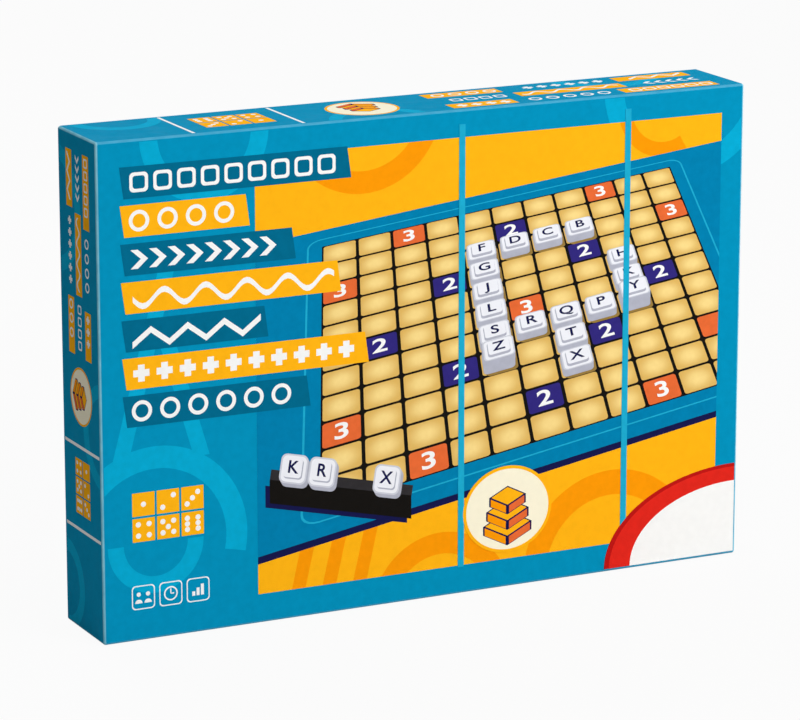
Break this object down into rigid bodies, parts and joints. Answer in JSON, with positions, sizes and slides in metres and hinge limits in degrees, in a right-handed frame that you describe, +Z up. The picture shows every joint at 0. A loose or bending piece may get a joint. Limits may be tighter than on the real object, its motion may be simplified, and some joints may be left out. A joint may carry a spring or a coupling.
{
  "type": "word board game",
  "caption": "Boxed word board game: telescoping cardboard lid and base tray holding a folded card insert, a gridded board, tile racks, stackable tiles and a rules leaflet.",
  "frame": {"origin": "centre of the footprint, on the surface that the box stands on", "axes": "+X along the cover's width, +Z up the cover, and the printed cover faces -Y"},
  "size_m": [0.38, 0.051, 0.266],
  "materials": {
    "cover_print": "satin",
    "base_paper": "matte",
    "greyboard": "matte",
    "kraft_tape": "matte",
    "insert_card": "matte",
    "board_print": "satin",
    "lining_paper": "matte",
    "leaflet_paper": "satin",
    "rack_plastic": "satin",
    "tile_plastic": "gloss"
  },
  "bodies": {
    "base_tray": {"base_board": "greyboard", "base_corner_stays": "kraft_tape", "base_wrap": "base_paper"},
    "insert": {"insert_platform": "insert_card", "well_divider_lower": "insert_card", "well_divider_upper": "insert_card"},
    "game_board": {"board_core": "greyboard", "board_face_sheet": "board_print", "board_back_lining": "lining_paper"},
    "leaflet": {"rules_leaflet": "leaflet_paper"},
    "lid": {"lid_board": "greyboard", "lid_corner_stays": "kraft_tape", "lid_wrap": "cover_print"},
    "rack_1": {"rack_1": "rack_plastic"},
    "rack_2": {"rack_2": "rack_plastic"},
    "rack_3": {"rack_3": "rack_plastic"},
    "rack_4": {"rack_4": "rack_plastic"},
    "tile_stack_01": {"tile_stack_01": "tile_plastic"},
    "tile_stack_02": {"tile_stack_02": "tile_plastic"},
    "tile_stack_03": {"tile_stack_03": "tile_plastic"},
    "tile_stack_04": {"tile_stack_04": "tile_plastic"},
    "tile_stack_05": {"tile_stack_05": "tile_plastic"},
    "tile_stack_06": {"tile_stack_06": "tile_plastic"},
    "tile_stack_07": {"tile_stack_07": "tile_plastic"},
    "tile_stack_08": {"tile_stack_08": "tile_plastic"},
    "tile_stack_09": {"tile_stack_09": "tile_plastic"},
    "tile_stack_10": {"tile_stack_10": "tile_plastic"},
    "tile_stack_11": {"tile_stack_11": "tile_plastic"},
    "tile_stack_12": {"tile_stack_12": "tile_plastic"}
  },
  "joints": [
    {"name": "insert_lift", "type": "slide", "parent": "base_tray", "child": "insert", "axis": [0, -1, 0], "range_m": [0, 0.06]},
    {"name": "board_lift", "type": "slide", "parent": "insert", "child": "game_board", "axis": [0, -1, 0], "range_m": [0, 0.11]},
    {"name": "leaflet_lift", "type": "slide", "parent": "game_board", "child": "leaflet", "axis": [0, -1, 0], "range_m": [0, 0.04]},
    {"name": "lid_lift", "type": "slide", "parent": "leaflet", "child": "lid", "axis": [0, -1, 0], "range_m": [0, 0.12]},
    {"name": "rack_1_lift", "type": "slide", "parent": "insert", "child": "rack_1", "axis": [0, -1, 0], "range_m": [0, 0.066]},
    {"name": "rack_2_lift", "type": "slide", "parent": "insert", "child": "rack_2", "axis": [0, -1, 0], "range_m": [0, 0.066]},
    {"name": "rack_3_lift", "type": "slide", "parent": "insert", "child": "rack_3", "axis": [0, -1, 0], "range_m": [0, 0.066]},
    {"name": "rack_4_lift", "type": "slide", "parent": "insert", "child": "rack_4", "axis": [0, -1, 0], "range_m": [0, 0.066]},
    {"name": "tile_stack_01_lift", "type": "slide", "parent": "insert", "child": "tile_stack_01", "axis": [0, -1, 0], "range_m": [0, 0.055]},
    {"name": "tile_stack_02_lift", "type": "slide", "parent": "insert", "child": "tile_stack_02", "axis": [0, -1, 0], "range_m": [0, 0.055]},
    {"name": "tile_stack_03_lift", "type": "slide", "parent": "insert", "child": "tile_stack_03", "axis": [0, -1, 0], "range_m": [0, 0.055]},
    {"name": "tile_stack_04_lift", "type": "slide", "parent": "insert", "child": "tile_stack_04", "axis": [0, -1, 0], "range_m": [0, 0.055]},
    {"name": "tile_stack_05_lift", "type": "slide", "parent": "insert", "child": "tile_stack_05", "axis": [0, -1, 0], "range_m": [0, 0.055]},
    {"name": "tile_stack_06_lift", "type": "slide", "parent": "insert", "child": "tile_stack_06", "axis": [0, -1, 0], "range_m": [0, 0.055]},
    {"name": "tile_stack_07_lift", "type": "slide", "parent": "insert", "child": "tile_stack_07", "axis": [0, -1, 0], "range_m": [0, 0.055]},
    {"name": "tile_stack_08_lift", "type": "slide", "parent": "insert", "child": "tile_stack_08", "axis": [0, -1, 0], "range_m": [0, 0.055]},
    {"name": "tile_stack_09_lift", "type": "slide", "parent": "insert", "child": "tile_stack_09", "axis": [0, -1, 0], "range_m": [0, 0.055]},
    {"name": "tile_stack_10_lift", "type": "slide", "parent": "insert", "child": "tile_stack_10", "axis": [0, -1, 0], "range_m": [0, 0.055]},
    {"name": "tile_stack_11_lift", "type": "slide", "parent": "insert", "child": "tile_stack_11", "axis": [0, -1, 0], "range_m": [0, 0.055]},
    {"name": "tile_stack_12_lift", "type": "slide", "parent": "insert", "child": "tile_stack_12", "axis": [0, -1, 0], "range_m": [0, 0.055]}
  ],
  "couplings": [
    {"joint": "rack_1_lift", "follows": "board_lift", "ratio": 0.6},
    {"joint": "rack_2_lift", "follows": "board_lift", "ratio": 0.6},
    {"joint": "rack_3_lift", "follows": "board_lift", "ratio": 0.6},
    {"joint": "rack_4_lift", "follows": "board_lift", "ratio": 0.6},
    {"joint": "tile_stack_01_lift", "follows": "board_lift", "ratio": 0.5},
    {"joint": "tile_stack_02_lift", "follows": "board_lift", "ratio": 0.5},
    {"joint": "tile_stack_03_lift", "follows": "board_lift", "ratio": 0.5},
    {"joint": "tile_stack_04_lift", "follows": "board_lift", "ratio": 0.5},
    {"joint": "tile_stack_05_lift", "follows": "board_lift", "ratio": 0.5},
    {"joint": "tile_stack_06_lift", "follows": "board_lift", "ratio": 0.5},
    {"joint": "tile_stack_07_lift", "follows": "board_lift", "ratio": 0.5},
    {"joint": "tile_stack_08_lift", "follows": "board_lift", "ratio": 0.5},
    {"joint": "tile_stack_09_lift", "follows": "board_lift", "ratio": 0.5},
    {"joint": "tile_stack_10_lift", "follows": "board_lift", "ratio": 0.5},
    {"joint": "tile_stack_11_lift", "follows": "board_lift", "ratio": 0.5},
    {"joint": "tile_stack_12_lift", "follows": "board_lift", "ratio": 0.5}
  ]
}
